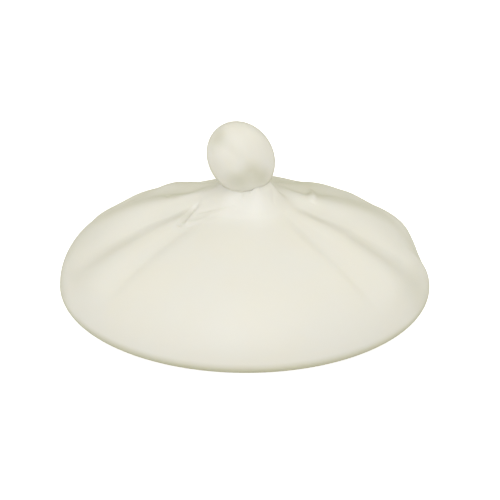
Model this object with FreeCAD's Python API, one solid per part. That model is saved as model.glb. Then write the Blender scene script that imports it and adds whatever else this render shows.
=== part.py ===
import FreeCAD, Part
import math
import os

# A lidded ceramic dappen dish, in millimetres.
# The origin is the centre of the dish's foot, on the table; +Z is up and the front is -Y.
# The lid is a domed cover with soft gathers that run from the knob to the rim.

Vector = FreeCAD.Vector
UP = Vector(0, 0, 1)
ORIGIN = Vector(0, 0, 0)

# ---- dish ----------------------------------------------------------------------------
DISH_RIM_Z = 12.5           # the flat land that the lid rests on
DISH_OUTER_RADIUS = 21.0
DISH_MOUTH_RADIUS = 18.2
DISH_EDGE_ROUND = 0.6       # both edges of the rim
MOUTH_WALL_DEPTH = 3.2      # straight wall below the rim, before the well curves in
WELL_FLOOR_Z = 2.6
WELL_FLAT_RADIUS = 3.0      # flat middle of the well's floor
BELLY_RADIUS = 18.9         # a point halfway up the outside of the bowl
BELLY_Z = 5.6
FOOT_OUTER_RADIUS = 14.0
FOOT_INNER_RADIUS = 12.0
FOOT_HEIGHT = 1.2
FOOT_RECESS = 0.6           # hollow inside the foot ring
FOOT_ROUND = 0.5

# ---- lid: outer form -----------------------------------------------------------------
LID_RADIUS = 28.0
LID_RIM_Z = 6.0             # lowest edge of the lid above the table
LIP_ROUND = 1.0             # outer round of that edge
SHOULDER_RISE = 9.3         # height that the round shoulder gives
SHOULDER_POWER = 3.4        # how late the shoulder starts to fall
SHOULDER_ROUND = 0.45       # how square the shoulder is
TENT_RISE = 7.25            # height that the cone towards the knob adds
TENT_POWER = 1.2
NECK_RISE = 4.1             # short flare up to the knob
NECK_WIDTH = 3.6
BOSS_RADIUS = 3.4           # flat top that the knob stands on

# ---- lid: gathers --------------------------------------------------------------------
GATHER_COUNT = 5            # each gather is one narrow rib and one wide lobe
RIB_HALF_ANGLE = 11.0       # degrees
RIB_HEIGHT = 0.85           # a rib's crest against a lobe's crest
LOBE_POWER = 1.2            # how pointed a lobe's crest is
GATHER_DEPTH = 1.5          # crest to valley
GATHER_START = 0.22         # share of the lid's radius where the gathers begin
GATHER_FULL = 0.42          # share of the radius where they reach full depth
GATHER_FADE = 0.16          # share of the radius over which they die out at the rim
RIB_SWING = 6.0             # degrees by which the side ribs sit nearer to the front
RIB_SWING_SPAN = 132.0      # degrees from the front that this swing reaches
VALLEY_SOFTNESS = 5.0       # degrees to each side over which a valley is rounded
VALLEY_SAMPLES = 9          # places averaged over that width
FRONT_DEPTH = 0.05          # share of the gathers' depth that is left at the front
SIDE_DEPTH = 0.36           # share at the sides
SIDE_ANGLE = 38.0           # degrees from the front where the side share starts to build up
SIDE_BLEND = 16.0           # degrees over which it does
BACK_ANGLE = 54.0           # degrees from the front where the full depth starts to build up
BACK_BLEND = 65.0           # degrees over which it does
BACK_CALM = 0.6             # how far the gathers at the very back are levelled out
BACK_CALM_ANGLE = 140.0     # degrees from the front where this starts
BACK_CALM_BLEND = 20.0      # degrees over which it takes full effect
MIDDLE_GATHER = 0.5         # the level that the back is evened to

# ---- lid: underside ------------------------------------------------------------------
SKIRT_INNER_RADIUS = 26.2
SKIRT_EDGE_ROUND = 0.6
SEAT_OUTER_RADIUS = 21.6    # the flat ring that rests on the dish
RING_OUTER_RADIUS = 17.6    # locating ring that drops into the dish's mouth
RING_INNER_RADIUS = 16.0
RING_DEPTH = 2.6
ROOF_EDGE_Z = 15.0          # hollow of the dome at the locating ring
ROOF_MIDDLE = (9.5, 17.4)   # radius and height of a point on the hollow
ROOF_FLAT_RADIUS = 4.4      # flat spot around the stud hole
ROOF_FLAT_Z = 20.2
STUD_HOLE_RADIUS = 1.7

# ---- knob and its fixings ------------------------------------------------------------
BALL_LONG_RADIUS = 5.85
BALL_SHORT_RADIUS = 4.95
BALL_LEAN = 30.5            # degrees, towards -X
BALL_OFFSET_X = -0.68
BALL_CENTRE_Z = 28.5
BALL_HOLE_RADIUS = 1.55
STUD_RADIUS = 1.5           # M3
STUD_TOP_Z = 28.6
STUD_CHAMFER = 0.3
STUD_THREAD_IN_NUT = 4.0
CEMENT_GAP = 0.3            # above the stud, inside the ball
SEAT_WASHER = (3.5, 1.7, 0.4)      # outer radius, inner radius, thickness
CUSHION_WASHER = (3.8, 1.65, 0.8)
FLAT_WASHER = (3.5, 1.6, 0.5)
FLAT_WASHER_BEVEL = 0.1
NUT_ACROSS_FLATS = 5.5
NUT_HEX_HEIGHT = 2.4
NUT_HEIGHT = 5.5
NUT_DOME_RADIUS = 2.6
NUT_CORNER_BEVEL = 0.35
NUT_BORE_DEPTH = 4.3

# ---- how finely the lid's outer form is lofted ---------------------------------------
POINTS_ROUND = 120
LIP_STEP = 30               # degrees between outlines around the lip
DOME_STEP = 4               # degrees between outlines over the dome


# ---- drawing helpers: a profile is drawn as (radius, height) and turned about Z ------
def at(radius, height):
    return Vector(radius, 0, height)


def line(start, end):
    return Part.LineSegment(at(*start), at(*end)).toShape()


def arc(start, middle, end):
    return Part.Arc(at(*start), at(*middle), at(*end)).toShape()


def corner(centre, start, end):
    """A quarter-round edge about a centre, from start to end."""
    radius = math.dist(centre, start)
    toward = ((start[0] + end[0]) / 2 - centre[0], (start[1] + end[1]) / 2 - centre[1])
    reach = radius / math.hypot(*toward)
    middle = (centre[0] + toward[0] * reach, centre[1] + toward[1] * reach)
    return arc(start, middle, end)


def ellipse_quarter(centre, on_long_axis, on_short_axis):
    """A quarter of an ellipse, from its long axis to its short axis."""
    ellipse = Part.Ellipse(at(*on_long_axis), at(*on_short_axis), at(*centre))
    return Part.Arc(ellipse, 0, math.pi / 2).toShape()


def turned(edges):
    """The solid made by turning a closed profile about the Z axis."""
    wire = Part.Wire(Part.__sortEdges__(edges))
    return Part.Face(wire).revolve(ORIGIN, UP, 360)


def polygon(points):
    return [line(a, b) for a, b in zip(points, points[1:] + points[:1])]


# ---- lid: the outer form as a height over radius and azimuth -------------------------
def smooth_step(x):
    x = min(max(x, 0.0), 1.0)
    return x * x * (3 - 2 * x)


def plain_height(radius):
    """Height of the ungathered dome above the lid's lowest edge."""
    share = min(radius / LID_RADIUS, 1.0)
    shoulder = SHOULDER_RISE * (1 - share ** SHOULDER_POWER) ** SHOULDER_ROUND
    tent = TENT_RISE * (1 - share) ** TENT_POWER
    neck = NECK_RISE * math.exp(-(radius / NECK_WIDTH) ** 2)
    return LIP_ROUND + shoulder + tent + neck


def angle_from_front(azimuth):
    return (azimuth + 180) % 360 - 180


def gather(azimuth):
    """0 in a valley and up to 1 on a crest; azimuth in degrees from the front."""
    pitch = 360.0 / GATHER_COUNT
    half_pitch = pitch / 2
    from_front = abs(angle_from_front(azimuth))
    swing_share = min(from_front / RIB_SWING_SPAN, 1)
    swing = RIB_SWING * (1 - math.cos(2 * math.pi * swing_share)) / 2
    turn = (from_front + swing) % pitch
    turn = min(turn, pitch - turn)
    if turn < RIB_HALF_ANGLE:
        height = RIB_HEIGHT * (1 - (turn / RIB_HALF_ANGLE) ** 2)
    else:
        height = 1 - ((half_pitch - turn) / (half_pitch - RIB_HALF_ANGLE)) ** LOBE_POWER
    calm = BACK_CALM * smooth_step((from_front - BACK_CALM_ANGLE) / BACK_CALM_BLEND)
    return height + calm * (MIDDLE_GATHER - height)


def soft_gather(azimuth):
    """The gather pattern with its valleys rounded."""
    steps = [2 * i / (VALLEY_SAMPLES - 1) - 1 for i in range(VALLEY_SAMPLES)]
    return sum(gather(azimuth + VALLEY_SOFTNESS * step) for step in steps) / VALLEY_SAMPLES


def depth_share(azimuth):
    """The gathers are nearly smoothed away at the front and deepest at the back."""
    from_front = abs(angle_from_front(azimuth))
    side = (SIDE_DEPTH - FRONT_DEPTH) * smooth_step((from_front - SIDE_ANGLE) / SIDE_BLEND)
    back = (1 - SIDE_DEPTH) * smooth_step((from_front - BACK_ANGLE) / BACK_BLEND)
    return FRONT_DEPTH + side + back


def gather_drop(radius, azimuth):
    """How far the gathers lower the dome."""
    share = radius / LID_RADIUS
    start = smooth_step((share - GATHER_START) / (GATHER_FULL - GATHER_START))
    fade = smooth_step((1 - share) / GATHER_FADE)
    return GATHER_DEPTH * depth_share(azimuth) * start * fade * (1 - soft_gather(azimuth))


def lid_outline(radius, height_at):
    """A closed smooth curve around the lid at one radius."""
    points = []
    for i in range(POINTS_ROUND):
        azimuth = 360.0 * i / POINTS_ROUND
        angle = math.radians(azimuth)
        height = LID_RIM_Z + height_at(azimuth)
        points.append(Vector(radius * math.sin(angle), -radius * math.cos(angle), height))
    even_steps = [float(i) for i in range(POINTS_ROUND + 1)]
    curve = Part.BSplineCurve()
    curve.interpolate(Points=points, PeriodicFlag=True, Parameters=even_steps)
    return Part.Wire([curve.toShape()])


def lid_outer_form():
    """The closed outer form of the lid, lofted from its lowest edge to the boss."""
    outlines = []
    for degrees in range(-90, 0, LIP_STEP):
        angle = math.radians(degrees)
        radius = LID_RADIUS - LIP_ROUND + LIP_ROUND * math.cos(angle)
        height = LIP_ROUND + LIP_ROUND * math.sin(angle)
        outlines.append(lid_outline(radius, lambda azimuth: height))
    for degrees in range(90, DOME_STEP * 2, -DOME_STEP):
        radius = LID_RADIUS * math.sin(math.radians(degrees))
        outlines.append(lid_outline(
            radius, lambda azimuth: plain_height(radius) - gather_drop(radius, azimuth)))
    outlines.append(lid_outline(BOSS_RADIUS, lambda azimuth: plain_height(BOSS_RADIUS)))
    return Part.makeLoft(outlines, True, False)


def lid_hollow():
    """What is taken out from below: skirt, seat, locating ring and the domed roof."""
    below = LID_RIM_Z - 1
    skirt_top = (SEAT_OUTER_RADIUS, DISH_RIM_Z)
    skirt_bottom = (SKIRT_INNER_RADIUS, LID_RIM_Z + SKIRT_EDGE_ROUND)
    edge_foot = (SKIRT_INNER_RADIUS + SKIRT_EDGE_ROUND, LID_RIM_Z)
    edge_centre = (edge_foot[0], skirt_bottom[1])
    ring_round = (RING_OUTER_RADIUS - RING_INNER_RADIUS) / 2
    ring_foot_z = DISH_RIM_Z - RING_DEPTH
    ring_outside = (RING_OUTER_RADIUS, ring_foot_z + ring_round)
    ring_inside = (RING_INNER_RADIUS, ring_foot_z + ring_round)
    ring_foot = (RING_INNER_RADIUS + ring_round, ring_foot_z)
    return turned([
        line((0, below), (edge_foot[0], below)),
        line((edge_foot[0], below), edge_foot),
        corner(edge_centre, edge_foot, skirt_bottom),
        ellipse_quarter((SEAT_OUTER_RADIUS, skirt_bottom[1]), skirt_top, skirt_bottom),
        line(skirt_top, (RING_OUTER_RADIUS, DISH_RIM_Z)),
        line((RING_OUTER_RADIUS, DISH_RIM_Z), ring_outside),
        arc(ring_outside, ring_foot, ring_inside),
        line(ring_inside, (RING_INNER_RADIUS, ROOF_EDGE_Z)),
        arc((RING_INNER_RADIUS, ROOF_EDGE_Z), ROOF_MIDDLE, (ROOF_FLAT_RADIUS, ROOF_FLAT_Z)),
        line((ROOF_FLAT_RADIUS, ROOF_FLAT_Z), (0, ROOF_FLAT_Z)),
        line((0, ROOF_FLAT_Z), (0, below)),
    ])


# ---- the pieces ----------------------------------------------------------------------
def make_lid_dome():
    stud_hole = Part.makeCylinder(STUD_HOLE_RADIUS, boss_top_z, ORIGIN, UP)
    return lid_outer_form().cut(lid_hollow()).cut(stud_hole)


def make_dish():
    rim_inside = DISH_MOUTH_RADIUS + DISH_EDGE_ROUND
    rim_outside = DISH_OUTER_RADIUS - DISH_EDGE_ROUND
    shoulder_z = DISH_RIM_Z - DISH_EDGE_ROUND
    wall_foot_z = DISH_RIM_Z - MOUTH_WALL_DEPTH
    foot_top = (FOOT_OUTER_RADIUS, FOOT_HEIGHT)
    foot_side = (FOOT_OUTER_RADIUS, FOOT_ROUND)
    foot_edge = (FOOT_OUTER_RADIUS - FOOT_ROUND, 0)
    recess_edge = (FOOT_INNER_RADIUS, FOOT_RECESS)
    recess_foot = (FOOT_INNER_RADIUS + FOOT_ROUND, 0)
    return turned([
        line((0, FOOT_RECESS), recess_edge),
        line(recess_edge, recess_foot),
        line(recess_foot, foot_edge),
        corner((foot_edge[0], FOOT_ROUND), foot_edge, foot_side),
        line(foot_side, foot_top),
        arc(foot_top, (BELLY_RADIUS, BELLY_Z), (DISH_OUTER_RADIUS, shoulder_z)),
        corner((rim_outside, shoulder_z), (DISH_OUTER_RADIUS, shoulder_z), (rim_outside, DISH_RIM_Z)),
        line((rim_outside, DISH_RIM_Z), (rim_inside, DISH_RIM_Z)),
        corner((rim_inside, shoulder_z), (rim_inside, DISH_RIM_Z), (DISH_MOUTH_RADIUS, shoulder_z)),
        line((DISH_MOUTH_RADIUS, shoulder_z), (DISH_MOUTH_RADIUS, wall_foot_z)),
        ellipse_quarter((WELL_FLAT_RADIUS, wall_foot_z), (DISH_MOUTH_RADIUS, wall_foot_z),
                        (WELL_FLAT_RADIUS, WELL_FLOOR_Z)),
        line((WELL_FLAT_RADIUS, WELL_FLOOR_Z), (0, WELL_FLOOR_Z)),
        line((0, WELL_FLOOR_Z), (0, FOOT_RECESS)),
    ])


def make_knob_ball():
    """An egg-shaped ball that leans over, flat where it meets its washer."""
    top = (0, BALL_LONG_RADIUS)
    side = (BALL_SHORT_RADIUS, 0)
    bottom = (0, -BALL_LONG_RADIUS)
    ball = turned([
        ellipse_quarter((0, 0), top, side),
        ellipse_quarter((0, 0), bottom, side),
        line(bottom, top),
    ])
    ball.rotate(ORIGIN, Vector(0, 1, 0), -BALL_LEAN)
    ball.translate(Vector(BALL_OFFSET_X, 0, BALL_CENTRE_Z))
    size = 4 * BALL_LONG_RADIUS
    below = Part.makeBox(size, size, size, Vector(-size / 2, -size / 2, ball_flat_z - size))
    hole_depth = STUD_TOP_Z + CEMENT_GAP - ball_flat_z
    hole = Part.makeCylinder(BALL_HOLE_RADIUS, hole_depth, Vector(0, 0, ball_flat_z), UP)
    return ball.cut(below).cut(hole)


def make_washer(size, bottom_z, round_edge):
    """A flat ring; its outer edge is half round or bevelled."""
    outer, inner, thickness = size
    top_z = bottom_z + thickness
    edge = thickness / 2 if round_edge else FLAT_WASHER_BEVEL
    flat = outer - edge
    if round_edge:
        rim = [arc((flat, bottom_z), (outer, bottom_z + edge), (flat, top_z))]
    else:
        low = (outer, bottom_z + edge)
        high = (outer, top_z - edge)
        rim = [line((flat, bottom_z), low), line(low, high), line(high, (flat, top_z))]
    return turned(rim + [
        line((flat, top_z), (inner, top_z)),
        line((inner, top_z), (inner, bottom_z)),
        line((inner, bottom_z), (flat, bottom_z)),
    ])


def make_knob_stud():
    bottom_z = nut_top_z - STUD_THREAD_IN_NUT
    tip = STUD_RADIUS - STUD_CHAMFER
    return turned(polygon([
        (0, bottom_z),
        (tip, bottom_z),
        (STUD_RADIUS, bottom_z + STUD_CHAMFER),
        (STUD_RADIUS, STUD_TOP_Z - STUD_CHAMFER),
        (tip, STUD_TOP_Z),
        (0, STUD_TOP_Z),
    ]))


def make_cap_nut():
    """A domed nut, hex at the top and closed at the bottom."""
    corner_radius = NUT_ACROSS_FLATS / math.sqrt(3)
    flats = NUT_ACROSS_FLATS / 2
    hex_foot_z = nut_top_z - NUT_HEX_HEIGHT
    dome_foot_z = nut_top_z - NUT_HEIGHT
    points = [Vector(corner_radius * math.cos(math.radians(60 * i)),
                     corner_radius * math.sin(math.radians(60 * i)), hex_foot_z) for i in range(7)]
    prism = Part.Face(Part.makePolygon(points)).extrude(Vector(0, 0, NUT_HEX_HEIGHT))
    bevelled = turned(polygon([
        (0, hex_foot_z),
        (flats, hex_foot_z),
        (corner_radius, hex_foot_z + NUT_CORNER_BEVEL),
        (corner_radius, nut_top_z - NUT_CORNER_BEVEL),
        (flats, nut_top_z),
        (0, nut_top_z),
    ]))
    dome_centre_z = dome_foot_z + NUT_DOME_RADIUS
    neck_top = (NUT_DOME_RADIUS, hex_foot_z + NUT_CORNER_BEVEL)
    dome = turned([
        line((0, neck_top[1]), neck_top),
        line(neck_top, (NUT_DOME_RADIUS, dome_centre_z)),
        corner((0, dome_centre_z), (NUT_DOME_RADIUS, dome_centre_z), (0, dome_foot_z)),
        line((0, dome_foot_z), (0, neck_top[1])),
    ])
    bore = Part.makeCylinder(STUD_RADIUS, NUT_BORE_DEPTH, Vector(0, 0, nut_top_z - NUT_BORE_DEPTH), UP)
    return prism.common(bevelled).fuse(dome).cut(bore).removeSplitter()


# ---- heights of the stack under the knob, from the boss down -------------------------
boss_top_z = LID_RIM_Z + plain_height(BOSS_RADIUS)
ball_flat_z = boss_top_z + SEAT_WASHER[2]
cushion_bottom_z = ROOF_FLAT_Z - CUSHION_WASHER[2]
nut_top_z = cushion_bottom_z - FLAT_WASHER[2]

PIECES = {
    "dish": make_dish(),
    "lid_dome": make_lid_dome(),
    "knob_ball": make_knob_ball(),
    "knob_seat_washer": make_washer(SEAT_WASHER, boss_top_z, round_edge=True),
    "knob_stud": make_knob_stud(),
    "cushion_washer": make_washer(CUSHION_WASHER, cushion_bottom_z, round_edge=True),
    "flat_washer": make_washer(FLAT_WASHER, nut_top_z, round_edge=False),
    "cap_nut": make_cap_nut(),
}

os.makedirs("parts", exist_ok=True)
for node, shape in PIECES.items():
    solids = shape.Solids
    if len(solids) != 1 or not solids[0].isValid():
        raise SystemExit(f"{node}: expected one valid solid, found {len(solids)}")
    solids[0].exportStep(f"parts/{node}.step")
    box = solids[0].BoundBox
    print(node, f"{box.XLength:.2f} x {box.YLength:.2f} x {box.ZLength:.2f} mm",
          f"z {box.ZMin:.2f} to {box.ZMax:.2f}", f"{solids[0].Volume / 1000:.2f} cm3")
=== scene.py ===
import math

import bpy
import numpy as np
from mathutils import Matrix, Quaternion, Vector


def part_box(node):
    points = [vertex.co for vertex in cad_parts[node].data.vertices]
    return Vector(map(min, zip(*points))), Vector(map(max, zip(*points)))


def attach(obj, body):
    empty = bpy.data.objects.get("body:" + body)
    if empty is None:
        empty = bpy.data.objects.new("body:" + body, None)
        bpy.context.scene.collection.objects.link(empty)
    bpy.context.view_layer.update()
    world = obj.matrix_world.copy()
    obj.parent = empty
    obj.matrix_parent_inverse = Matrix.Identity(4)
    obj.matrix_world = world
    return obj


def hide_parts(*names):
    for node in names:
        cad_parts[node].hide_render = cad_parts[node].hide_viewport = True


# A lidded ceramic dappen dish: ivory glaze, a gathered dome, a ball knob and its small fixings.
# Sizes are metres in the frame of the CAD model; the front is -Y.

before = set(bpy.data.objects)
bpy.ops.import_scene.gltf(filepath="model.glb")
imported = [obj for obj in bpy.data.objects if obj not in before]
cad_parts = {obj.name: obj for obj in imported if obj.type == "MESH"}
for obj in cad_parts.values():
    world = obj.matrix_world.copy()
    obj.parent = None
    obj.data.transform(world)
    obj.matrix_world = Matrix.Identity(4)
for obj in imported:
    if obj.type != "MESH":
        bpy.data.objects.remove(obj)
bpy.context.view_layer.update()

MM = 0.001


def size_of(node):
    """A node's outer radius, bottom and top."""
    low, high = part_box(node)
    return (high.x - low.x) / 2, low.z, high.z


lid_radius, rim_z, boss_z = size_of("lid_dome")
dish_radius, _, dish_rim_z = size_of("dish")
_, _, ball_flat_z = size_of("knob_seat_washer")
_, _, roof_flat_z = size_of("cushion_washer")
_, nut_top_z, _ = size_of("flat_washer")
stud_radius, stud_low_z, stud_top_z = size_of("knob_stud")
nut_corner_radius, nut_low_z, _ = size_of("cap_nut")


# ---- meshes from rings of points -----------------------------------------------------
def mesh_piece(name, rings, body, replaced, closed_loop=False, sharp=45):
    """A piece from rings of points around an axis.

    A ring given as one point closes that end of the form. With closed_loop the last
    ring joins the first one, as in a washer.
    """
    vertices = []
    starts = []
    for ring in rings:
        ring = np.atleast_2d(ring)
        starts.append((len(vertices), len(ring)))
        vertices.extend(map(tuple, ring))
    faces = []
    pairs = list(zip(starts, starts[1:]))
    if closed_loop:
        pairs.append((starts[-1], starts[0]))
    for (a, a_count), (b, b_count) in pairs:
        count = max(a_count, b_count)
        for i in range(count):
            j = (i + 1) % count
            corners = [a + i % a_count, a + j % a_count, b + j % b_count, b + i % b_count]
            faces.append(list(dict.fromkeys(corners)))
    mesh = bpy.data.meshes.new(name)
    mesh.from_pydata(vertices, [], faces)
    mesh.validate()
    mesh.polygons.foreach_set("use_smooth", [True] * len(mesh.polygons))
    mesh.set_sharp_from_angle(angle=math.radians(sharp))
    piece = bpy.data.objects.new(name, mesh)
    bpy.context.scene.collection.objects.link(piece)
    outward(mesh)
    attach(piece, body)
    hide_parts(*replaced)
    return piece


def outward(mesh):
    """Turns the faces outward if the mesh's signed volume says that they face in."""
    count = len(mesh.vertices)
    points = np.empty(count * 3)
    mesh.vertices.foreach_get("co", points)
    points = points.reshape(-1, 3)
    mesh.calc_loop_triangles()
    triangles = np.empty(len(mesh.loop_triangles) * 3, np.int32)
    mesh.loop_triangles.foreach_get("vertices", triangles)
    a, b, c = (points[triangles.reshape(-1, 3)[:, k]] for k in range(3))
    if np.einsum("ij,ij->i", a, np.cross(b, c)).sum() < 0:
        mesh.flip_normals()


def angles(count):
    """Azimuths round the axis in degrees, from the front, without repeating the first."""
    return np.arange(count) * 360.0 / count


def placed(radius, azimuth, height):
    """Points at a radius, an azimuth in degrees from the front, and a height."""
    turn = np.radians(azimuth)
    height = np.broadcast_to(height, np.shape(azimuth))
    return np.stack([radius * np.sin(turn), -radius * np.cos(turn), height], axis=-1)


LARGEST_CURVE_SHARE = 0.45


def softened(corners, roundness, steps=5):
    """An outline with each inner corner replaced by a small curve of the given size."""
    corners = [np.array(c, float) for c in corners]
    outline = [corners[0]]
    for before, corner, after in zip(corners, corners[1:], corners[2:]):
        back = before - corner
        ahead = after - corner
        shorter = min(np.linalg.norm(back), np.linalg.norm(ahead))
        reach = min(roundness, LARGEST_CURVE_SHARE * shorter)
        start = corner + back / np.linalg.norm(back) * reach
        end = corner + ahead / np.linalg.norm(ahead) * reach
        for t in np.linspace(0, 1, steps):
            outline.append((1 - t) ** 2 * start + 2 * t * (1 - t) * corner + t * t * end)
    outline.append(corners[-1])
    return outline


def divided(outline, longest):
    """An outline with its long stretches divided evenly."""
    points = [outline[0]]
    for start, end in zip(outline, outline[1:]):
        pieces = max(1, math.ceil(np.linalg.norm(end - start) / longest))
        for k in range(1, pieces + 1):
            points.append(start + (end - start) * k / pieces)
    return points


def ellipse(centre, across, up, start, end, steps):
    """Points along an ellipse from one angle to another, in degrees."""
    turn = np.radians(np.linspace(start, end, steps))
    return [np.array([centre[0] + across * math.cos(a), centre[1] + up * math.sin(a)]) for a in turn]


# ---- the dome's outer form -----------------------------------------------------------
LIP_ROUND = 1.0 * MM
SHOULDER_RISE = 9.3 * MM
SHOULDER_POWER = 3.4
SHOULDER_ROUND = 0.45
TENT_RISE = 7.25 * MM
TENT_POWER = 1.2
NECK_RISE = 4.1 * MM
NECK_WIDTH = 3.6 * MM
BOSS_RADIUS = 3.4 * MM

GATHER_PITCH = 72.0
RIB_HALF_ANGLE = 11.0
RIB_HEIGHT = 0.85
LOBE_POWER = 1.2
GATHER_DEPTH = 1.5 * MM
GATHER_START = 0.22
GATHER_FULL = 0.42
GATHER_FADE = 0.16
RIB_SWING = 6.0
RIB_SWING_SPAN = 132.0
VALLEY_SOFTNESS = 5.0
VALLEY_SAMPLES = 9
FRONT_DEPTH = 0.05
SIDE_DEPTH = 0.36
SIDE_ANGLE = 38.0
SIDE_BLEND = 16.0
BACK_ANGLE = 54.0
BACK_BLEND = 65.0
BACK_CALM = 0.6
BACK_CALM_ANGLE = 140.0
BACK_CALM_BLEND = 20.0
MIDDLE_GATHER = 0.5


def smooth_step(x):
    x = np.clip(x, 0.0, 1.0)
    return x * x * (3 - 2 * x)


def from_front(azimuth):
    return (azimuth + 180) % 360 - 180


def plain_height(radius):
    """Height of the ungathered dome above the lid's lowest edge."""
    share = np.clip(radius / lid_radius, 0, 1)
    shoulder = SHOULDER_RISE * (1 - share ** SHOULDER_POWER) ** SHOULDER_ROUND
    tent = TENT_RISE * (1 - share) ** TENT_POWER
    neck = NECK_RISE * np.exp(-(radius / NECK_WIDTH) ** 2)
    return LIP_ROUND + shoulder + tent + neck


def gather(azimuth):
    """0 in a valley, up to 1 on a crest: narrow low ribs between wide high lobes."""
    half_pitch = GATHER_PITCH / 2
    around = from_front(azimuth)
    share = np.clip(np.abs(around) / RIB_SWING_SPAN, 0, 1)
    swing = RIB_SWING * (1 - np.cos(2 * math.pi * share)) / 2
    turn = (np.abs(around) + swing) % GATHER_PITCH
    turn = np.minimum(turn, GATHER_PITCH - turn)
    rib = RIB_HEIGHT * (1 - (turn / RIB_HALF_ANGLE) ** 2)
    lobe = 1 - (np.abs(half_pitch - turn) / (half_pitch - RIB_HALF_ANGLE)) ** LOBE_POWER
    height = np.where(turn < RIB_HALF_ANGLE, rib, lobe)
    calm = BACK_CALM * smooth_step((np.abs(around) - BACK_CALM_ANGLE) / BACK_CALM_BLEND)
    return height + calm * (MIDDLE_GATHER - height)


def depth_share(azimuth):
    """The gathers are nearly smoothed out at the front and deepest at the back."""
    turn = np.abs(from_front(azimuth))
    side = (SIDE_DEPTH - FRONT_DEPTH) * smooth_step((turn - SIDE_ANGLE) / SIDE_BLEND)
    back = (1 - SIDE_DEPTH) * smooth_step((turn - BACK_ANGLE) / BACK_BLEND)
    return FRONT_DEPTH + side + back


def gather_drop(radius, azimuth):
    """How far the gathers lower the dome."""
    share = radius / lid_radius
    start = smooth_step((share - GATHER_START) / (GATHER_FULL - GATHER_START))
    fade = smooth_step((1 - share) / GATHER_FADE)
    depth = GATHER_DEPTH * depth_share(azimuth)
    samples = np.linspace(-VALLEY_SOFTNESS, VALLEY_SOFTNESS, VALLEY_SAMPLES)
    soft = sum(gather(azimuth + step) for step in samples) / VALLEY_SAMPLES
    return depth * start * fade * (1 - soft)


# ---- marks of the hand in the lid: short strokes, a ledge and a dent ------------------
# Each stroke: azimuth in degrees and radius of both ends, half-width, rise (or fall).
STROKES = [
    ((-81, 7.0 * MM), (-60, 11.6 * MM), 0.50 * MM, -0.52 * MM),
    ((-60, 11.1 * MM), (-34, 7.6 * MM), 0.50 * MM, 0.16 * MM),
    ((-63, 8.5 * MM), (-8, 4.7 * MM), 0.38 * MM, -0.18 * MM),
    ((-8, 3.8 * MM), (34, 3.9 * MM), 0.36 * MM, 0.42 * MM),
    ((76, 4.2 * MM), (46, 5.9 * MM), 0.35 * MM, -0.16 * MM),
    ((98, 10.4 * MM), (136, 14.6 * MM), 0.60 * MM, 0.45 * MM),
    ((-104, 4.2 * MM), (-107, 11.5 * MM), 1.10 * MM, 0.15 * MM),
    ((-128, 15.0 * MM), (-112, 12.2 * MM), 0.50 * MM, -0.25 * MM),
    ((-150, 21.5 * MM), (175, 20.5 * MM), 5.00 * MM, -0.50 * MM),
    ((146, 26.0 * MM), (103, 27.5 * MM), 1.80 * MM, 0.70 * MM),
    ((-146, 26.0 * MM), (-118, 27.0 * MM), 1.70 * MM, 0.40 * MM),
    ((-152, 21.5 * MM), (-136, 23.5 * MM), 2.00 * MM, -0.30 * MM),
    ((-56, 11.0 * MM), (-53, 27.0 * MM), 1.10 * MM, -0.17 * MM),
    ((47, 9.0 * MM), (49, 27.0 * MM), 1.10 * MM, -0.15 * MM),
    ((-77, 8.0 * MM), (-77, 16.0 * MM), 2.20 * MM, 0.12 * MM),
    ((77, 8.5 * MM), (77, 17.0 * MM), 2.40 * MM, 0.14 * MM),
    ((-82, 16.0 * MM), (-80, 29.2 * MM), 3.30 * MM, -0.36 * MM),
    ((80, 16.0 * MM), (76, 29.2 * MM), 3.40 * MM, -0.36 * MM),
    ((-58, 19.0 * MM), (-57, 29.2 * MM), 1.60 * MM, -0.18 * MM),
    ((50, 19.0 * MM), (49, 29.2 * MM), 1.60 * MM, -0.14 * MM),
]
LEDGE_RADIUS = 6.6 * MM
LEDGE_SWING = 4.2 * MM
LEDGE_RISE = 0.16 * MM
LEDGE_SOFTNESS = 0.9 * MM
LEDGE_LEFT = -110.0
LEDGE_LEFT_BLEND = 16.0
LEDGE_RIGHT = 40.0
LEDGE_RIGHT_BLEND = 50.0
SWING_LEFT = -84.0
SWING_LEFT_BLEND = 24.0
SWING_RIGHT = -34.0
SWING_RIGHT_BLEND = 26.0
WEB_START = -4.0
WEB_BUILD = 40.0
WEB_END = 70.0
WEB_DROP = 28.0
WEB_RISE = 1.50 * MM
WEB_INNER = 3.4 * MM
WEB_CREST = 3.9 * MM
WEB_OUTER = 8.5 * MM
DENT_AZIMUTH = 101.0
DENT_HALF_ANGLE = 12.5
DENT_EASE = 5.0
DENT_FOOT = 2.2 * MM
DENT_AT_FOOT = 0.25
DENT_INSIDE = 0.80


def stroke_rise(radius, azimuth):
    """Height that the strokes add; each one fades towards both of its ends."""
    x, y = radius * np.sin(np.radians(azimuth)), -radius * np.cos(np.radians(azimuth))
    rise = np.zeros_like(azimuth, dtype=float)
    for (a1, r1), (a2, r2), width, height in STROKES:
        start, end = placed(r1, a1, 0)[:2], placed(r2, a2, 0)[:2]
        along = end - start
        share = ((x - start[0]) * along[0] + (y - start[1]) * along[1]) / (along @ along)
        share = np.clip(share, 0, 1)
        off = np.hypot(x - start[0] - share * along[0], y - start[1] - share * along[1])
        taper = 1 - np.abs(2 * share - 1) ** 3
        rise = rise + height * taper * np.exp(-(off / width) ** 2)
    return rise


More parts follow.
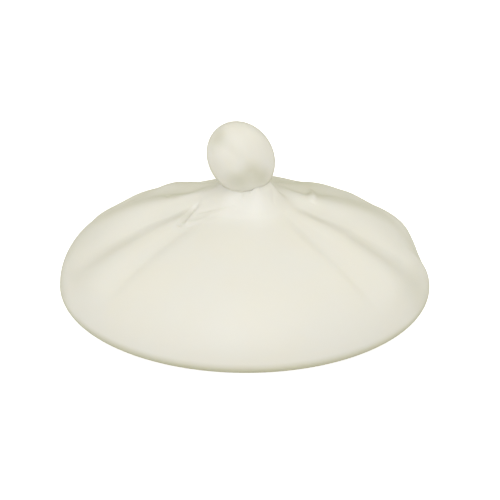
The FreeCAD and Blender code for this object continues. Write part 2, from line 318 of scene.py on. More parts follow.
def ledge_rise(radius, azimuth):
    """A thicker collar round the front and left of the neck, with a soft outer step."""
    turn = from_front(azimuth)
    swing = LEDGE_SWING * smooth_step((SWING_RIGHT - turn) / SWING_RIGHT_BLEND)
    swing = swing * smooth_step((turn - SWING_LEFT) / SWING_LEFT_BLEND)
    inside = smooth_step((LEDGE_RADIUS + swing - radius) / LEDGE_SOFTNESS + 0.5)
    left = smooth_step((turn - LEDGE_LEFT) / LEDGE_LEFT_BLEND)
    right = smooth_step((LEDGE_RIGHT - turn) / LEDGE_RIGHT_BLEND)
    return LEDGE_RISE * inside * left * right


def web_rise(radius, azimuth):
    """A fold of the neck that climbs the right side of the ball and runs out on the dome."""
    turn = from_front(azimuth)
    around = smooth_step((turn - WEB_START) / WEB_BUILD)
    around = around * smooth_step((WEB_END + WEB_DROP - turn) / WEB_DROP)
    inner = smooth_step((radius - WEB_INNER) / (WEB_CREST - WEB_INNER))
    outer = 1 - smooth_step((radius - WEB_CREST) / (WEB_OUTER - WEB_CREST))
    return WEB_RISE * around * inner * outer ** 2


def dent_inset(radius, height, azimuth):
    """How far a flat dent, with a corner at its back end, moves the right shoulder inwards."""
    off = from_front(azimuth) - DENT_AZIMUTH
    near = np.clip(np.abs(off), 0, DENT_HALF_ANGLE)
    flat = math.cos(math.radians(DENT_HALF_ANGLE)) / np.cos(np.radians(near))
    ease = smooth_step((off + DENT_HALF_ANGLE) / DENT_EASE)
    foot = smooth_step(height / DENT_FOOT + DENT_AT_FOOT)
    inside = smooth_step((radius / lid_radius - DENT_INSIDE) / (1 - DENT_INSIDE))
    return lid_radius * (1 - flat) * ease * foot * inside


# ---- the lid -------------------------------------------------------------------------
LID_COLUMNS = 480
SKIRT_INNER = 26.2 * MM
SKIRT_EDGE = 0.6 * MM
SEAT_OUTER = 21.6 * MM
RING_OUTER = 17.6 * MM
RING_INNER = 16.0 * MM
RING_DEPTH = 2.6 * MM
RING_ROOT = 0.35 * MM
ROOF_ROOT = 0.6 * MM
LID_ROWS = 200
ROOF_EDGE_Z = 15.0 * MM
ROOF_MIDDLE = (9.5 * MM, 17.4 * MM)
ROOF_FLAT = 4.4 * MM
STUD_HOLE = 1.7 * MM


def make_lid():
    azimuth = angles(LID_COLUMNS)
    rings = []
    boss_angle = math.degrees(math.asin(BOSS_RADIUS / lid_radius))
    for degrees in np.linspace(boss_angle, 90, LID_ROWS):
        radius = lid_radius * math.sin(math.radians(degrees))
        height = plain_height(radius) - gather_drop(radius, azimuth)
        height = height + stroke_rise(radius, azimuth) + ledge_rise(radius, azimuth)
        height = height + web_rise(radius, azimuth)
        inset = dent_inset(radius, height, azimuth)
        rings.append(placed(radius - inset, azimuth, rim_z + height))
    lip_centre = (lid_radius - LIP_ROUND, rim_z + LIP_ROUND)
    lip = ellipse(lip_centre, LIP_ROUND, LIP_ROUND, 0, -90, 14)[1:]
    edge_centre = (SKIRT_INNER + SKIRT_EDGE, rim_z + SKIRT_EDGE)
    edge = ellipse(edge_centre, SKIRT_EDGE, SKIRT_EDGE, 270, 180, 9)
    skirt_centre = (SEAT_OUTER, rim_z + SKIRT_EDGE)
    skirt_rise = dish_rim_z - skirt_centre[1]
    skirt = ellipse(skirt_centre, SKIRT_INNER - SEAT_OUTER, skirt_rise, 0, 90, 36)[1:]
    ring_round = (RING_OUTER - RING_INNER) / 2
    ring_foot = dish_rim_z - RING_DEPTH + ring_round
    seat = divided(softened([(SEAT_OUTER, dish_rim_z), (RING_OUTER, dish_rim_z),
                             (RING_OUTER, ring_foot)], RING_ROOT), 0.6 * MM)[1:]
    ring_centre = (RING_INNER + ring_round, ring_foot)
    ring = ellipse(ring_centre, ring_round, ring_round, 360, 180, 17)[1:]
    roof = [np.array([RING_INNER, ring_foot])] + roof_outline()
    roof = divided(softened(roof, ROOF_ROOT), 0.7 * MM)[1:]
    for radius, height in lip:
        inset = dent_inset(radius, height - rim_z, azimuth)
        rings.append(placed(radius - inset, azimuth, height))
    for radius, height in edge + skirt + seat + ring + roof:
        rings.append(placed(radius, azimuth, height))
    return mesh_piece("lid_dome_glazed", rings, "lid", ["lid_dome"],
                      closed_loop=True)


def roof_outline():
    """The hollow under the dome, from the locating ring up to the stud hole and the boss."""
    curve = arc_through((RING_INNER, ROOF_EDGE_Z), ROOF_MIDDLE, (ROOF_FLAT, roof_flat_z), 24)
    return curve + [np.array([STUD_HOLE, roof_flat_z]), np.array([STUD_HOLE, boss_z])]


def arc_through(start, middle, end, steps):
    """Points along the circular arc from start through middle to end."""
    (x1, y1), (x2, y2), (x3, y3) = start, middle, end
    matrix = np.array([[x2 - x1, y2 - y1], [x3 - x1, y3 - y1]]) * 2
    right = np.array([x2 * x2 - x1 * x1 + y2 * y2 - y1 * y1, x3 * x3 - x1 * x1 + y3 * y3 - y1 * y1])
    centre = np.linalg.solve(matrix, right)
    first = math.atan2(y1 - centre[1], x1 - centre[0])
    last = math.atan2(y3 - centre[1], x3 - centre[0])
    last = first + (last - first + math.pi) % math.tau - math.pi
    radius = math.hypot(x1 - centre[0], y1 - centre[1])
    return [centre + radius * np.array([math.cos(a), math.sin(a)])
            for a in np.linspace(first, last, steps)]


# ---- the dish ------------------------------------------------------------------------
DISH_COLUMNS = 288
MOUTH = 18.2 * MM
DISH_EDGE = 0.6 * MM
MOUTH_WALL = 3.2 * MM
WELL_FLOOR_Z = 2.6 * MM
WELL_FLAT = 3.0 * MM
BELLY = (18.9 * MM, 5.6 * MM)
FOOT_OUTER = 14.0 * MM
FOOT_INNER = 12.0 * MM
FOOT_HEIGHT = 1.2 * MM
FOOT_RECESS = 0.6 * MM
FOOT_SLOPE = 0.5 * MM
FOOT_ROUND = 0.35 * MM


def make_dish():
    azimuth = angles(DISH_COLUMNS)
    shoulder_z = dish_rim_z - DISH_EDGE
    wall_foot_z = dish_rim_z - MOUTH_WALL
    belly = arc_through((FOOT_OUTER, FOOT_HEIGHT), BELLY, (dish_radius, shoulder_z), 40)
    rim_out = ellipse((dish_radius - DISH_EDGE, shoulder_z), DISH_EDGE, DISH_EDGE, 0, 90, 9)[1:]
    rim_in = ellipse((MOUTH + DISH_EDGE, shoulder_z), DISH_EDGE, DISH_EDGE, 90, 180, 9)
    well = ellipse((WELL_FLAT, wall_foot_z), MOUTH - WELL_FLAT, wall_foot_z - WELL_FLOOR_Z,
                   0, -90, 40)
    foot = softened([(0.5 * MM, FOOT_RECESS), (FOOT_INNER, FOOT_RECESS),
                     (FOOT_INNER + FOOT_SLOPE, 0), (FOOT_OUTER, 0),
                     (FOOT_OUTER, FOOT_HEIGHT)], FOOT_ROUND)
    outline = divided(foot + belly[1:] + rim_out + rim_in + well, 0.8 * MM)
    rings = [np.array([[0, 0, FOOT_RECESS]])]
    for radius, height in outline:
        rings.append(placed(radius, azimuth, height))
    rings.append(np.array([[0, 0, WELL_FLOOR_Z]]))
    return mesh_piece("dish_glazed", rings, "dish", ["dish"])


# ---- the ball knob -------------------------------------------------------------------
BALL_COLUMNS = 240
BALL_LONG = 5.85 * MM
BALL_SHORT = 4.95 * MM
BALL_LEAN = 30.5
BALL_CENTRE = Vector((-0.68 * MM, 0, 28.5 * MM))
BALL_HOLE = 1.55 * MM
BALL_HOLE_SPARE = 0.3 * MM
BALL_ROWS = 96
BALL_EDGE_STEPS = 40
BALL_SEAT_SHARES = (0.15, 0.5, 0.85, 1.0)

# The groove: the axis it runs round, the way it runs, and shares of the ball's radius.
GROOVE_AXIS = Vector((0.69, 0.33, 0.65)).normalized()
GROOVE_RUN = Vector((0.72, -0.31, -0.62)).normalized()
GROOVE_OFFSET = -0.11
GROOVE_WIDTH = 0.22
GROOVE_DEPTH = 0.060
GROOVE_FRONT = 0.5
GROOVE_REACH = 0.95
GROOVE_TAPER = 0.4
# Fingertip hollows: direction from the ball's centre, angular size, share of the radius.
HOLLOWS = [
    (Vector((-0.66, -0.20, 0.72)), 0.24, 0.060),
    (Vector((-0.08, -0.93, -0.42)), 0.28, 0.090),
    (Vector((0.38, -0.92, -0.08)), 0.24, 0.045),
    (Vector((0.62, -0.72, -0.30)), 0.20, 0.005),
]


def groove(direction):
    """A shallow finger groove that slants down over the front of the ball."""
    off = (direction @ np.array(GROOVE_AXIS) - GROOVE_OFFSET) / GROOVE_WIDTH
    run = direction @ np.array(GROOVE_RUN)
    front = smooth_step(-direction[..., 1] / GROOVE_FRONT)
    taper = smooth_step((GROOVE_REACH - np.abs(run)) / GROOVE_TAPER)
    return GROOVE_DEPTH * np.exp(-off ** 2) * front * taper


def hollows(direction):
    """Small round fingertip hollows on the ball."""
    depth = np.zeros(direction.shape[:-1])
    for toward, size, share in HOLLOWS:
        off = np.linalg.norm(direction - np.array(toward.normalized()), axis=-1) / size
        depth = depth + share * np.exp(-off ** 2)
    return depth


def ball_surface(polar, azimuth):
    """Points of the leaning egg, from its centre, by angle from +Z and by azimuth."""
    direction = np.stack([np.sin(polar) * np.sin(np.radians(azimuth)),
                          -np.sin(polar) * np.cos(np.radians(azimuth)),
                          np.cos(polar) * np.ones_like(azimuth)], axis=-1)
    lean = math.radians(BALL_LEAN)
    long_axis = np.array([-math.sin(lean), 0, math.cos(lean)])
    along = direction @ long_axis
    across = np.sqrt(np.clip(1 - along ** 2, 0, 1))
    reach = 1 / np.sqrt((along / BALL_LONG) ** 2 + (across / BALL_SHORT) ** 2)
    reach = reach * (1 - groove(direction) - hollows(direction))
    return direction * reach[..., None]


def ball_edge(azimuth):
    """The angle from +Z at which the egg meets its flat seat, found by halving."""
    seat = ball_flat_z - BALL_CENTRE.z
    low, high = np.zeros_like(azimuth), np.full_like(azimuth, math.pi)
    for _ in range(BALL_EDGE_STEPS):
        middle = (low + high) / 2
        above = ball_surface(middle, azimuth)[:, 2] > seat
        low = np.where(above, middle, low)
        high = np.where(above, high, middle)
    return low


def make_ball():
    azimuth = angles(BALL_COLUMNS)
    edge_angle = ball_edge(azimuth)
    centre = np.array(BALL_CENTRE)
    top = ball_surface(np.zeros(1), np.zeros(1)) + centre
    rings = [top]
    for share in np.linspace(0, 1, BALL_ROWS)[1:]:
        rings.append(ball_surface(edge_angle * share, azimuth) + centre)
    edge = rings[-1]
    hole = placed(BALL_HOLE, azimuth, ball_flat_z)
    for share in BALL_SEAT_SHARES:
        rings.append(edge + (hole - edge) * share)
    hole_top = stud_top_z + BALL_HOLE_SPARE
    for height in np.linspace(ball_flat_z, hole_top, 6)[1:]:
        rings.append(placed(BALL_HOLE, azimuth, height))
    rings.append(np.array([[0, 0, hole_top]]))
    return mesh_piece("knob_ball_glazed", rings, "lid", ["knob_ball"])


# ---- the fixings ---------------------------------------------------------------------
RING_COLUMNS = 144
SEAT_WASHER_BORE = 1.7 * MM
CUSHION_BORE = 1.65 * MM
BORE_BULGE = 0.4
FLAT_WASHER_BORE = 1.6 * MM
FLAT_WASHER_ROUND = 0.12 * MM


def turned_ring(name, outline, replaced):
    azimuth = angles(RING_COLUMNS)
    rings = [placed(radius, azimuth, height) for radius, height in outline]
    return mesh_piece(name, rings, "lid", replaced, closed_loop=True)


def make_soft_washer(name, node, inner):
    """A soft ring that bulges a little at its outer edge."""
    outer, low, high = size_of(node)
    half = (high - low) / 2
    bulge = ellipse((outer - half, low + half), half, half, -90, 90, 13)
    swell = half * BORE_BULGE
    bore = ellipse((inner + swell, low + half), swell, half, 90, 270, 9)
    return turned_ring(name, divided(bulge + bore, 0.5 * MM), [node])


def make_flat_washer():
    outer, low, high = size_of("flat_washer")
    inner = FLAT_WASHER_BORE
    start = (outer - 1 * MM, low)
    corners = [start, (outer, low), (outer, high), (inner, high), (inner, low), start]
    outline = softened(corners, FLAT_WASHER_ROUND)[:-1]
    return turned_ring("flat_washer_steel", divided(outline, 0.4 * MM),
                       ["flat_washer"])


THREAD_PITCH = 0.5 * MM
THREAD_DEPTH = 0.27 * MM
THREAD_STEEPNESS = 2.6
THREAD_ROOT = 0.15
THREAD_START = 0.05 * MM
STUD_BEVEL = 0.35 * MM
STUD_COLUMNS = 72
STUD_ROWS_PER_TURN = 10


def make_stud():
    """A threaded stud: a helical ridge runs over its whole length, with bevelled ends."""
    azimuth = angles(STUD_COLUMNS)
    rings = [np.array([[0, 0, stud_low_z]])]
    for height in np.arange(stud_low_z, stud_top_z, THREAD_PITCH / STUD_ROWS_PER_TURN):
        from_end = min(height - stud_low_z, stud_top_z - height)
        turn = (height / THREAD_PITCH - azimuth / 360) % 1
        ridge = np.clip(np.abs(turn - 0.5) * THREAD_STEEPNESS - THREAD_ROOT, 0, 1)
        radius = stud_radius - THREAD_DEPTH * (1 - ridge)
        cap = stud_radius - THREAD_DEPTH + max(0, from_end - THREAD_START)
        cap = min(cap, stud_radius) - max(0, STUD_BEVEL / 3 - from_end)
        rings.append(placed(np.minimum(radius, cap), azimuth, height))
    rings.append(placed(stud_radius - STUD_BEVEL, azimuth, stud_top_z))
    rings.append(np.array([[0, 0, stud_top_z]]))
    return mesh_piece("knob_stud_threaded", rings, "lid", ["knob_stud"], sharp=60)


NUT_COLUMNS = 180
NUT_HEX_HEIGHT = 2.4 * MM
NUT_DOME = 2.6 * MM
NUT_BEVEL = 0.35 * MM
NUT_BEVEL_STEPS = 6
NUT_BORE = 1.5 * MM
NUT_BORE_MOUTH = 1.7 * MM
NUT_BORE_DEPTH = 4.3 * MM
# Depths below the nut's top between which its bore is straight.
NUT_BORE_WALL = (4.0 * MM, 0.2 * MM)
NUT_DOME_GAP = 0.02 * MM


def make_nut():
    """A domed cap nut: bevelled hexagon, neck and polished dome, bored from above."""
    azimuth = angles(NUT_COLUMNS)
    flats = nut_corner_radius * math.cos(math.radians(30))
    from_corner = (azimuth + 270) % 60
    hexagon = flats / np.cos(np.radians(from_corner - 30))
    hex_low_z = nut_top_z - NUT_HEX_HEIGHT
    bore_end_z = nut_top_z - NUT_BORE_DEPTH
    rings = [np.array([[0, 0, bore_end_z]]), placed(NUT_BORE, azimuth, bore_end_z)]
    deep, shallow = NUT_BORE_WALL
    for height in np.linspace(nut_top_z - deep, nut_top_z - shallow, 6):
        rings.append(placed(NUT_BORE, azimuth, height))
    rings.append(placed(NUT_BORE_MOUTH, azimuth, nut_top_z))
    slope = NUT_BEVEL / (nut_corner_radius - flats)
    for radius in np.linspace(flats, nut_corner_radius, NUT_BEVEL_STEPS):
        reach = np.minimum(hexagon, radius)
        rings.append(placed(reach, azimuth, nut_top_z - (reach - flats) * slope))
    for radius in np.linspace(nut_corner_radius, flats, NUT_BEVEL_STEPS):
        reach = np.minimum(hexagon, radius)
        rings.append(placed(reach, azimuth, hex_low_z + (reach - flats) * slope))
    rings.append(placed(NUT_DOME, azimuth, hex_low_z + NUT_DOME_GAP))
    for radius, height in ellipse((0, nut_low_z + NUT_DOME), NUT_DOME, NUT_DOME, 0, -90, 24)[:-1]:
        rings.append(placed(radius, azimuth, height))
    rings.append(np.array([[0, 0, nut_low_z]]))
    return mesh_piece("cap_nut_polished", rings, "lid", ["cap_nut"], sharp=25)


# ---- materials -----------------------------------------------------------------------
def node_of(tree, kind, **inputs):
    node = tree.nodes.new(kind)
    for name, value in inputs.items():
        node.inputs[name.replace("_", " ")].default_value = value
    return node


def noise(tree, scale_mm, detail=3.0, roughness=0.5):
    """Noise whose features are about scale_mm across, in the object's own space."""
    place = tree.nodes.new("ShaderNodeTexCoord")
    texture = node_of(tree, "ShaderNodeTexNoise", Scale=1 / (scale_mm * MM), Detail=detail,
                      Roughness=roughness)
    tree.links.new(place.outputs["Object"], texture.inputs["Vector"])
    return texture.outputs["Fac"]


def ramp(tree, value, low, high, out_low=0.0, out_high=1.0):
    node = tree.nodes.new("ShaderNodeMapRange")
    node.interpolation_type = "SMOOTHSTEP"
    for name, number in (("From Min", low), ("From Max", high), ("To Min", out_low),
                         ("To Max", out_high)):
        node.inputs[name].default_value = number
    tree.links.new(value, node.inputs["Value"])
    return node.outputs["Result"]


def mixed(tree, factor, first, second):
    """A colour between two; each colour is a tuple or another node's output."""
    node = tree.nodes.new("ShaderNodeMix")
    node.data_type = "RGBA"
    tree.links.new(factor, node.inputs["Factor"])
    for colour, socket in ((first, node.inputs[6]), (second, node.inputs[7])):
        if isinstance(colour, tuple):
            socket.default_value = (*colour, 1.0)
        else:
            tree.links.new(colour, socket)
    return node.outputs[2]


def new_material(name):
    material = bpy.data.materials.new(name)
    material.use_nodes = True
    tree = material.node_tree
    shader = tree.nodes["Principled BSDF"]
    return material, tree, shader


def bumped(tree, shader, value, strength, distance):
    bump = node_of(tree, "ShaderNodeBump", Strength=strength, Distance=distance)
    tree.links.new(value, bump.inputs["Height"])
    tree.links.new(bump.outputs["Normal"], shader.inputs["Normal"])


IVORY = (0.795, 0.784, 0.716)
IVORY_WARM = (0.800, 0.782, 0.698)
# Painted shade tint: darkens the glaze at a slant, along the lower lip and in dark patches.
IVORY_PAINTED_SHADE = (0.460, 0.450, 0.270)
# Painted highlight tint for the pale patches on the lid.
IVORY_PAINTED_LIGHT = (0.880, 0.870, 0.810)
# Painted shade along the lid's lower lip: heights above its lowest edge where it is full and where
# it has faded, and its strength.
LIP_SHADE_LOW = 0.3 * MM
LIP_SHADE_HIGH = 1.9 * MM
LIP_SHADE_STRENGTH = 0.8
CLOUD_SIZE_MM = 9.0
# Painted shade at a slant: facing values where it starts and where it is full, and its strength.
SLANT_SHADE_START = 0.60
SLANT_SHADE_FULL = 0.95
SLANT_SHADE_STRENGTH = 0.5


def patched(tree, colour, centre, radius, tint, strength):
    """A soft round patch of another tint: a painted highlight or painted shade."""
    place = tree.nodes.new("ShaderNodeTexCoord")
    reach = tree.nodes.new("ShaderNodeVectorMath")
    reach.operation = "DISTANCE"
    reach.inputs[1].default_value = centre
    tree.links.new(place.outputs["Object"], reach.inputs[0])
    amount = ramp(tree, reach.outputs["Value"], 0.0, radius, strength, 0.0)
    return mixed(tree, amount, colour, tint)


def glaze(name, base, warm, deep, lip_z=None, painted_patches=()):
    """Soft-gloss ivory glaze: cloudy, faintly uneven, with painted shade (the deep tint) where it is
    seen at a slant and along the lid's lower lip, and patches of painted highlight and painted
    shade.
    """
    material, tree, shader = new_material(name)
    cloud = ramp(tree, noise(tree, CLOUD_SIZE_MM, 2.0), 0.35, 0.65)
    colour = mixed(tree, cloud, base, warm)
    # Painted shade: the colour turns towards the deep tint where the surface is seen at a slant, so
    # the outlines darken.
    grazing = tree.nodes.new("ShaderNodeLayerWeight")
    grazing.inputs["Blend"].default_value = 0.5
    depth = ramp(tree, grazing.outputs["Facing"], SLANT_SHADE_START, SLANT_SHADE_FULL, 0.0, SLANT_SHADE_STRENGTH)
    colour = mixed(tree, depth, colour, deep)
    # Painted shade: a darker band along the lower lip, fading upwards.
    if lip_z is not None:
        place = tree.nodes.new("ShaderNodeTexCoord")
        split = tree.nodes.new("ShaderNodeSeparateXYZ")
        tree.links.new(place.outputs["Object"], split.inputs["Vector"])
        lip_shade = ramp(tree, split.outputs["Z"], lip_z + LIP_SHADE_LOW, lip_z + LIP_SHADE_HIGH,
                     LIP_SHADE_STRENGTH, 0.0)
        colour = mixed(tree, lip_shade, colour, deep)
    for patch in painted_patches:
        colour = patched(tree, colour, *patch)
    tree.links.new(colour, shader.inputs["Base Color"])
    gloss = ramp(tree, noise(tree, 5.0), 0.3, 0.7, 0.42, 0.50)
    tree.links.new(gloss, shader.inputs["Roughness"])
    shader.inputs["Subsurface Weight"].default_value = 0.12
    shader.inputs["Subsurface Radius"].default_value = (1.0, 0.8, 0.5)
    shader.inputs["Subsurface Scale"].default_value = 0.8 * MM
    shader.inputs["Coat Weight"].default_value = 0.3
    shader.inputs["Coat Roughness"].default_value = 0.3
    bumped(tree, shader, noise(tree, 2.2, 1.0), 0.04, 0.05 * MM)
    return material


def rubber(name, colour, dark):
    material, tree, shader = new_material(name)
    shade = mixed(tree, ramp(tree, noise(tree, 0.8), 0.35, 0.65), colour, dark)
    tree.links.new(shade, shader.inputs["Base Color"])
    shader.inputs["Roughness"].default_value = 0.6
    bumped(tree, shader, noise(tree, 0.15), 0.2, 0.02 * MM)
    return material


def steel(name, colour, dull, roughness, grain_mm):
    material, tree, shader = new_material(name)
    shade = mixed(tree, ramp(tree, noise(tree, grain_mm, 4.0), 0.35, 0.65), colour, dull)
    tree.links.new(shade, shader.inputs["Base Color"])
    shader.inputs["Metallic"].default_value = 1.0
    wear = ramp(tree, noise(tree, grain_mm * 2), 0.3, 0.7, roughness * 0.8, roughness * 1.3)
    tree.links.new(wear, shader.inputs["Roughness"])
    bumped(tree, shader, noise(tree, grain_mm / 3), 0.08, 0.01 * MM)
    return material


def paint(piece, material):
    piece.data.materials.clear()
    piece.data.materials.append(material)


# ---- the object ----------------------------------------------------------------------
# Painted highlights (pale tint) and painted shade (deep tint) on the lid: centre, radius, tint and
# strength.
lid_painted_light_and_shade = [
    (Vector((8.0 * MM, 1.2 * MM, boss_z - 3.3 * MM)), 4.6 * MM, IVORY_PAINTED_LIGHT, 1.0),
    (Vector((-1.8 * MM, -3.7 * MM, boss_z - 0.8 * MM)), 2.7 * MM, IVORY_PAINTED_LIGHT, 1.0),
    (Vector((-7.5 * MM, -0.7 * MM, boss_z - 3.0 * MM)), 5.5 * MM, IVORY_PAINTED_LIGHT, 0.8),
    (Vector((-9.2 * MM, -3.2 * MM, boss_z - 4.3 * MM)), 2.6 * MM, IVORY_PAINTED_SHADE, 0.22),
    (Vector((1.5 * MM, -5.2 * MM, boss_z - 1.6 * MM)), 5.0 * MM, IVORY_PAINTED_LIGHT, 0.80),
    (Vector((-2.8 * MM, -5.4 * MM, boss_z - 2.0 * MM)), 3.6 * MM, IVORY_PAINTED_LIGHT, 0.55),
    (Vector((3.0 * MM, 13.0 * MM, boss_z - 5.0 * MM)), 17.0 * MM, IVORY_PAINTED_SHADE, 0.22),
    (Vector((-9.6 * MM, 9.5 * MM, boss_z - 5.0 * MM)), 7.0 * MM, IVORY_PAINTED_SHADE, 0.22),
    (Vector((8.8 * MM, 11.4 * MM, boss_z - 5.0 * MM)), 8.0 * MM, IVORY_PAINTED_SHADE, 0.26),
    (Vector((-15.0 * MM, 0.5 * MM, boss_z - 6.0 * MM)), 9.0 * MM, IVORY_PAINTED_LIGHT, 0.50),
    (Vector((14.0 * MM, 2.0 * MM, boss_z - 6.0 * MM)), 8.0 * MM, IVORY_PAINTED_LIGHT, 0.30),
    (Vector((26.5 * MM, -7.5 * MM, rim_z + 3.5 * MM)), 7.5 * MM, IVORY_PAINTED_SHADE, 0.20),
]
# Painted shade in the ball's hollows.
HOLLOW_SHADE_SPREAD = 2.0
HOLLOW_SHADE_STRENGTH = 0.32
ball_painted_shade = []
for toward, size, _ in HOLLOWS:
    centre = BALL_CENTRE + toward.normalized() * BALL_SHORT
    ball_painted_shade.append((centre, HOLLOW_SHADE_SPREAD * size * BALL_LONG, IVORY_PAINTED_SHADE, HOLLOW_SHADE_STRENGTH))

lid_glaze = glaze("lid_glaze", IVORY, IVORY_WARM, IVORY_PAINTED_SHADE, lip_z=rim_z, painted_patches=lid_painted_light_and_shade)
dish_glaze = glaze("dish_glaze", IVORY, IVORY_WARM, IVORY_PAINTED_SHADE)
knob_glaze = glaze("knob_glaze", IVORY, IVORY_WARM, IVORY_PAINTED_SHADE, painted_patches=ball_painted_shade)
seat_rubber = rubber("seat_washer_rubber", (0.80, 0.78, 0.69), (0.76, 0.74, 0.64))
cushion_rubber = rubber("cushion_rubber", (0.62, 0.61, 0.56), (0.55, 0.54, 0.50))
plain_steel = steel("washer_steel", (0.62, 0.62, 0.63), (0.52, 0.52, 0.53), 0.32, 0.5)
stud_steel = steel("stud_steel", (0.58, 0.58, 0.60), (0.48, 0.48, 0.50), 0.3, 0.3)
nut_steel = steel("nut_steel", (0.70, 0.70, 0.71), (0.62, 0.62, 0.63), 0.16, 0.8)

paint(make_lid(), lid_glaze)
paint(make_dish(), dish_glaze)
paint(make_ball(), knob_glaze)
paint(make_soft_washer("knob_seat_washer_soft", "knob_seat_washer",
                       SEAT_WASHER_BORE), seat_rubber)
paint(make_soft_washer("cushion_washer_soft", "cushion_washer",
                       CUSHION_BORE), cushion_rubber)
paint(make_flat_washer(), plain_steel)
paint(make_stud(), stud_steel)
paint(make_nut(), nut_steel)


# ---- floor, light and camera ---------------------------------------------------------
FLOOR_RADIUS = 0.9
FLOOR_OPENING = 13.6 * MM
FLOOR_COLUMNS = 96
FLOOR_GLOW = 0.8


def make_floor():
    """A pale floor that can't be seen from below, open under the foot to let light in there."""
    azimuth = angles(FLOOR_COLUMNS)
    mesh = bpy.data.meshes.new("floor")
    rings = [placed(FLOOR_OPENING, azimuth, 0), placed(FLOOR_RADIUS, azimuth, 0)]
    faces = []
    for i in range(FLOOR_COLUMNS):
        j = (i + 1) % FLOOR_COLUMNS
        faces.append((i, i + FLOOR_COLUMNS, j + FLOOR_COLUMNS, j))
    mesh.from_pydata(np.concatenate(rings).tolist(), [], faces)
    floor = bpy.data.objects.new("floor", mesh)
    bpy.context.scene.collection.objects.link(floor)
    material, tree, shader = new_material("floor_paper")
    tint = ramp(tree, noise(tree, 60.0), 0.3, 0.7, 0.90, 0.93)
    colour = tree.nodes.new("ShaderNodeCombineColor")
    for channel in ("Red", "Green", "Blue"):
        tree.links.new(tint, colour.inputs[channel])
    tree.links.new(colour.outputs["Color"], shader.inputs["Base Color"])
    shader.inputs["Roughness"].default_value = 0.9
    shader.inputs["Specular IOR Level"].default_value = 0.0
    shader.inputs["Emission Color"].default_value = (1.0, 1.0, 1.0, 1.0)
    seen = tree.nodes.new("ShaderNodeLightPath")
    glow = ramp(tree, seen.outputs["Is Camera Ray"], 0.0, 1.0, 0.0, FLOOR_GLOW)
    tree.links.new(glow, shader.inputs["Emission Strength"])
    see_through = tree.nodes.new("ShaderNodeBsdfTransparent")
    side = tree.nodes.new("ShaderNodeNewGeometry")
    choose = tree.nodes.new("ShaderNodeMixShader")
    tree.links.new(side.outputs["Backfacing"], choose.inputs["Fac"])
    tree.links.new(shader.outputs["BSDF"], choose.inputs[1])
    tree.links.new(see_through.outputs["BSDF"], choose.inputs[2])
    tree.links.new(choose.outputs["Shader"], tree.nodes["Material Output"].inputs["Surface"])
    floor.data.materials.append(material)


ROOM_LIGHT = 0.75
ROOM_FRONT = (1.0, 0.99, 0.96)
ROOM_BACK = (0.50, 0.49, 0.40)


def make_world():
    """A pale room, dimmer and warmer at the back, that looks plain white to the camera."""
    world = bpy.data.worlds.new("studio")
    bpy.context.scene.world = world
    world.use_nodes = True
    tree = world.node_tree
    background = tree.nodes["Background"]
    place = tree.nodes.new("ShaderNodeTexCoord")
    split = tree.nodes.new("ShaderNodeSeparateXYZ")
    tree.links.new(place.outputs["Generated"], split.inputs["Vector"])
    behind = ramp(tree, split.outputs["Y"], 0.1, 0.8)
    room = mixed(tree, behind, ROOM_FRONT, ROOM_BACK)
    seen = tree.nodes.new("ShaderNodeLightPath")
    colour = mixed(tree, seen.outputs["Is Camera Ray"], room, (1.0, 1.0, 1.0))
    tree.links.new(colour, background.inputs["Color"])
    strength = ramp(tree, seen.outputs["Is Camera Ray"], 0.0, 1.0, ROOM_LIGHT, 1.0)
    tree.links.new(strength, background.inputs["Strength"])


WHITE_LIGHT = (1.0, 1.0, 1.0)
WARM_LIGHT = (1.0, 0.97, 0.82)
LIGHT_DISTANCE = 0.6
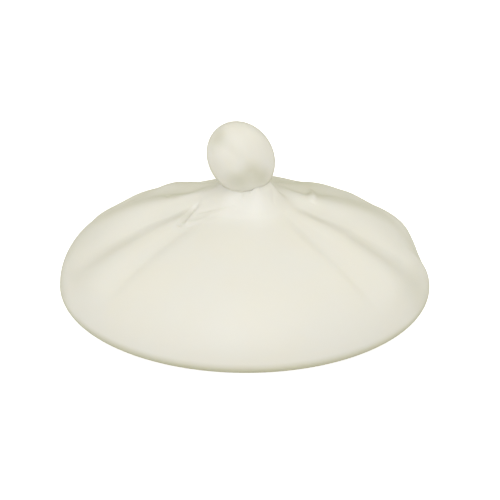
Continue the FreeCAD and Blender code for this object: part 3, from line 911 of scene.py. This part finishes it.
# Each light: name, azimuth, elevation, width, height, power, colour.
LIGHTS = [
    ("key", -45, 42, 0.8, 0.6, 0.30, WHITE_LIGHT),
    ("front", 0, 42, 0.4, 0.4, 0.36, WHITE_LIGHT),
    ("front_top", 0, 72, 0.4, 0.4, 0.41, WHITE_LIGHT),
    ("right_top", 90, 72, 0.4, 0.4, 0.05, WHITE_LIGHT),
    ("back_left", -135, 42, 0.4, 0.4, 0.30, WARM_LIGHT),
    ("back_right", 135, 42, 0.4, 0.4, 0.45, WARM_LIGHT),
]


def softbox(name, azimuth, elevation, width, height, power, colour):
    """A rectangular light that faces the dish."""
    data = bpy.data.lights.new(name, "AREA")
    data.shape = "RECTANGLE"
    data.size = width
    data.size_y = height
    data.energy = power
    data.color = colour
    light = bpy.data.objects.new(name, data)
    bpy.context.scene.collection.objects.link(light)
    a, e = math.radians(azimuth), math.radians(elevation)
    toward = Vector((math.sin(a) * math.cos(e), -math.cos(a) * math.cos(e), math.sin(e)))
    light.location = toward * LIGHT_DISTANCE
    light.rotation_mode = "QUATERNION"
    light.rotation_quaternion = toward.to_track_quat("Z", "Y")


CAMERA_ELEVATION = 26.75
CAMERA_ROLL = 0.3
LENS = 1000.0
SENSOR = 36.0
# The lid's width and the centre of its lowest edge, as shares of the picture.
LID_SHARE = 0.7394
RIM_CENTRE_ACROSS = 0.4898
RIM_CENTRE_DOWN = 0.5812


def make_camera():
    """A long lens looking down at the dish's front."""
    elevation = math.radians(CAMERA_ELEVATION)
    picture_width = 2 * lid_radius / LID_SHARE
    distance = picture_width * LENS / SENSOR
    data = bpy.data.cameras.new("camera")
    data.lens = LENS
    data.sensor_width = SENSOR
    data.clip_start = 0.01
    data.clip_end = 10
    camera = bpy.data.objects.new("camera", data)
    bpy.context.scene.collection.objects.link(camera)
    back = Vector((0, -math.cos(elevation), math.sin(elevation)))
    up = Vector((0, math.sin(elevation), math.cos(elevation)))
    across = (0.5 - RIM_CENTRE_ACROSS) * picture_width
    rise = (RIM_CENTRE_DOWN - 0.5) * picture_width
    target = Vector((0, 0, rim_z)) + Vector((across, 0, 0)) + up * rise
    camera.location = target + back * distance
    camera.rotation_mode = "QUATERNION"
    roll = Quaternion(back, math.radians(CAMERA_ROLL))
    camera.rotation_quaternion = roll @ back.to_track_quat("Z", "Y")
    bpy.context.scene.camera = camera


make_floor()
make_world()
for light in LIGHTS:
    softbox(*light)
make_camera()

scene = bpy.context.scene
scene.view_settings.view_transform = "Standard"
scene.view_settings.look = "None"
